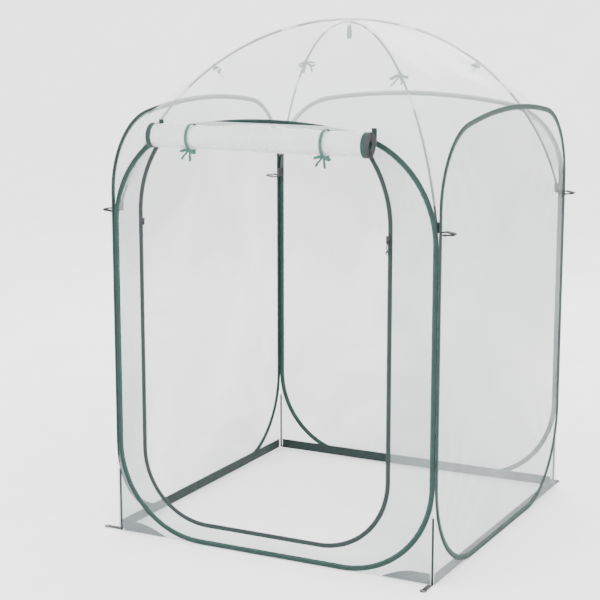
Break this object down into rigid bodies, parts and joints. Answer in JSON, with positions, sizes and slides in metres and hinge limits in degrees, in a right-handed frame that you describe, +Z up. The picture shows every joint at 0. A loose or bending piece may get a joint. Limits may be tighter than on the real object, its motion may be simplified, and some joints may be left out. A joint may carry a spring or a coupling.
{
  "type": "pop-up greenhouse",
  "caption": "Square pop-up greenhouse with sprung film walls, a film dome on crossed poles and a zipped door rolled up over its doorway.",
  "frame": {"origin": "on the ground, in the middle of the square that the four wall hoops stand on", "axes": "+Z up, +X to the right seen from the front, +Y from the door towards the back"},
  "size_m": [1.3305, 1.3808, 1.799],
  "materials": {
    "green_binding": "woven polyester binding",
    "green_oxford": "coated Oxford cloth",
    "green_tape": "woven polyester tape",
    "clear_film": "clear calendered PVC film",
    "spring_steel": "blued spring-steel wire",
    "glass_fibre": "pultruded glass-fibre rod",
    "ferrule_steel": "drawn steel tube",
    "shock_cord": "braided elastic cord",
    "tip_plastic": "moulded nylon",
    "black_webbing": "woven polypropylene webbing",
    "zip_nylon": "moulded nylon coil",
    "zip_metal": "enamelled zinc casting"
  },
  "bodies": {
    "front": {"front_hoop_sleeve": "green_binding", "front_hoop_wire": "spring_steel", "front_wall_film": "clear_film", "front_roof_gore": "clear_film", "front_corner_film": "clear_film", "front_corner_patches": "green_oxford", "front_seam_binding": "green_oxford", "door_zip_tape": "green_binding", "door_zip_coil": "zip_nylon", "door_roll": "clear_film", "door_roll_hems": "green_oxford", "door_header": "clear_film", "left_door_tie": "green_tape", "right_door_tie": "green_tape", "upper_pole_rods": "glass_fibre", "upper_pole_ferrules": "ferrule_steel", "upper_pole_cord": "shock_cord", "upper_pole_tips": "tip_plastic", "lower_pole_rods": "glass_fibre", "lower_pole_ferrules": "ferrule_steel", "lower_pole_cord": "shock_cord", "lower_pole_tips": "tip_plastic", "front_left_pocket": "black_webbing", "front_right_pocket": "black_webbing", "front_right_stake_loop": "green_oxford", "pole_ties": "green_tape", "apex_tie": "green_tape"},
    "right": {"right_hoop_sleeve": "green_binding", "right_hoop_wire": "spring_steel", "right_wall_film": "clear_film", "right_roof_gore": "clear_film", "right_corner_film": "clear_film", "right_sill_band": "green_oxford", "front_right_guy_loop": "black_webbing", "back_right_guy_loop": "black_webbing"},
    "back": {"back_hoop_sleeve": "green_binding", "back_hoop_wire": "spring_steel", "back_wall_film": "clear_film", "back_roof_gore": "clear_film", "back_corner_film": "clear_film", "back_sill_band": "green_oxford", "back_seam_binding": "green_oxford", "back_right_pocket": "black_webbing", "back_left_pocket": "black_webbing", "back_right_stake_loop": "green_oxford", "back_left_stake_loop": "green_oxford"},
    "left": {"left_hoop_sleeve": "green_binding", "left_hoop_wire": "spring_steel", "left_wall_film": "clear_film", "left_roof_gore": "clear_film", "left_corner_film": "clear_film", "left_sill_band": "green_oxford", "front_left_guy_loop": "black_webbing", "back_left_guy_loop": "black_webbing", "front_left_stake_loop": "green_oxford"},
    "left_slider": {"left_zip_slider": "zip_metal"},
    "right_slider": {"right_zip_slider": "zip_metal"},
    "left_pull": {"left_zip_pull": "zip_metal"},
    "right_pull": {"right_zip_pull": "zip_metal"}
  },
  "joints": [
    {"name": "right_fold", "type": "hinge", "parent": "front", "child": "right", "pos_m": [0.6017, -0.5986, 0.75], "axis": [0, 0, 1], "range_deg": [0, 90], "deforming": ["front_roof_gore", "right_roof_gore", "back_roof_gore", "left_roof_gore", "upper_pole_rods", "upper_pole_ferrules", "upper_pole_cord", "upper_pole_tips", "lower_pole_rods", "lower_pole_ferrules", "lower_pole_cord", "lower_pole_tips", "front_left_pocket", "front_right_pocket", "back_right_pocket", "back_left_pocket", "pole_ties", "apex_tie"]},
    {"name": "left_fold", "type": "hinge", "parent": "front", "child": "left", "pos_m": [-0.6017, -0.61, 0.75], "axis": [0, 0, 1], "range_deg": [0, 90]},
    {"name": "back_fold", "type": "hinge", "parent": "right", "child": "back", "pos_m": [0.6017, 0.61, 0.75], "axis": [0, 0, 1], "range_deg": [-90, 0]},
    {"name": "left_zip_slide", "type": "slide", "parent": "front", "child": "left_slider", "axis": [0, 0, 1], "range_m": [-0.76, 0]},
    {"name": "right_zip_slide", "type": "slide", "parent": "front", "child": "right_slider", "axis": [0, 0, 1], "range_m": [-0.76, 0]},
    {"name": "left_pull_hinge", "type": "hinge", "parent": "left_slider", "child": "left_pull", "pos_m": [-0.4847, -0.6148, 1.112], "axis": [-1, 0, 0], "range_deg": [0, 150]},
    {"name": "right_pull_hinge", "type": "hinge", "parent": "right_slider", "child": "right_pull", "pos_m": [0.4307, -0.6148, 1.112], "axis": [-1, 0, 0], "range_deg": [0, 150]}
  ],
  "couplings": [
    {"joint": "left_fold", "follows": "right_fold", "ratio": 1},
    {"joint": "back_fold", "follows": "right_fold", "ratio": -1}
  ]
}
